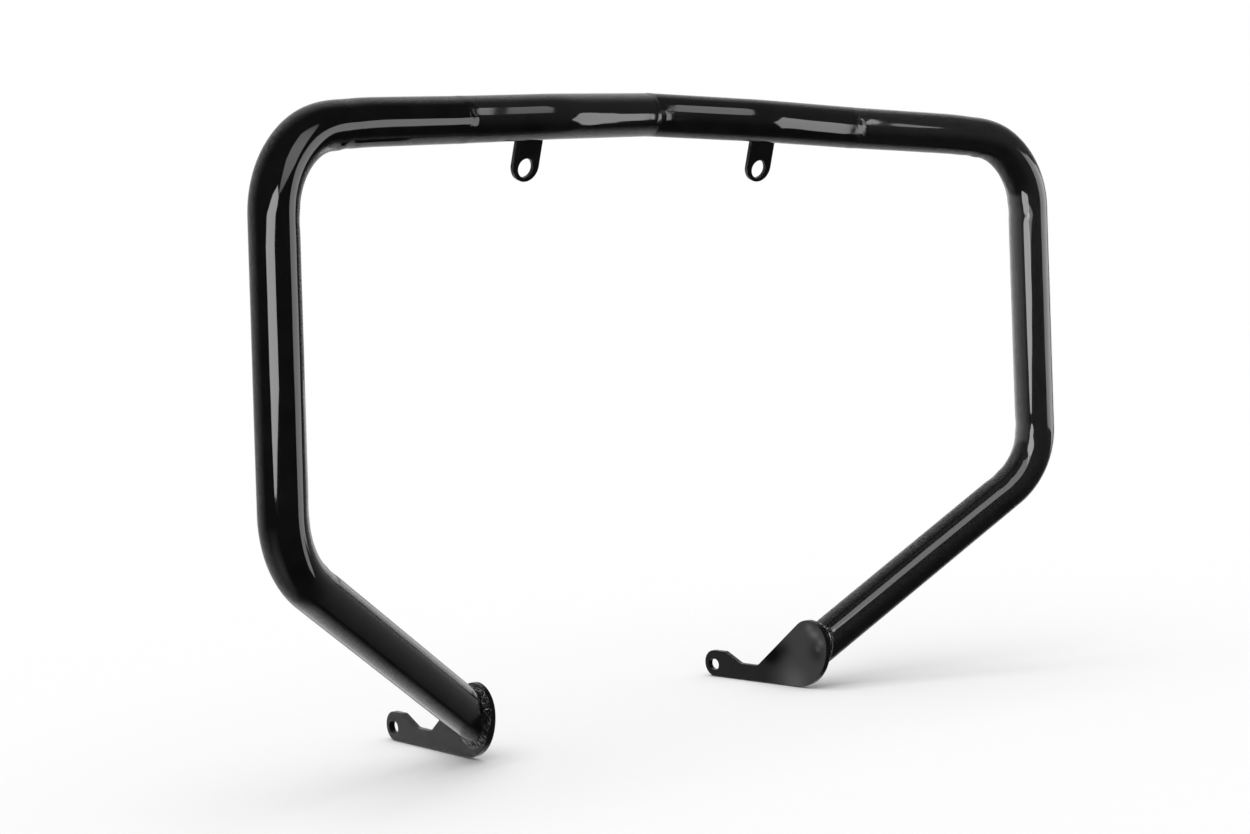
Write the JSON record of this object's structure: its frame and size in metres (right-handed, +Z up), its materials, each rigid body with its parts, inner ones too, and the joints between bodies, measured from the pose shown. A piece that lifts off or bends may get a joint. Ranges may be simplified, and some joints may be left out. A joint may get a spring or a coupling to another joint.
{
  "type": "motorcycle crash bar",
  "caption": "Open loop of bent steel tube that stands out on both sides of a motorcycle's front, hung from holed tabs on its top bar and bolted at slotted foot plates.",
  "frame": {"origin": "middle of the bar's width and depth, at the height of the foot plates' lower edges", "axes": "+X to the rider's right, along the top bar; +Y rearwards, from the top bar towards the ends of the foot plates; +Z up"},
  "size_m": [0.7532, 0.2266, 0.476],
  "materials": {
    "tube": "gloss",
    "flat_steel": "semi-gloss",
    "weld": "gloss over a rough bead"
  },
  "bodies": {
    "root": {"centre_weld": "weld", "left_centre_tube": "tube", "left_plate": "flat_steel", "left_plate_weld": "weld", "left_side_tube": "tube", "left_tab": "flat_steel", "left_tab_weld": "weld", "left_top_weld": "weld", "right_centre_tube": "tube", "right_plate": "flat_steel", "right_plate_weld": "weld", "right_side_tube": "tube", "right_tab": "flat_steel", "right_tab_weld": "weld", "right_top_weld": "weld"}
  },
  "joints": []
}
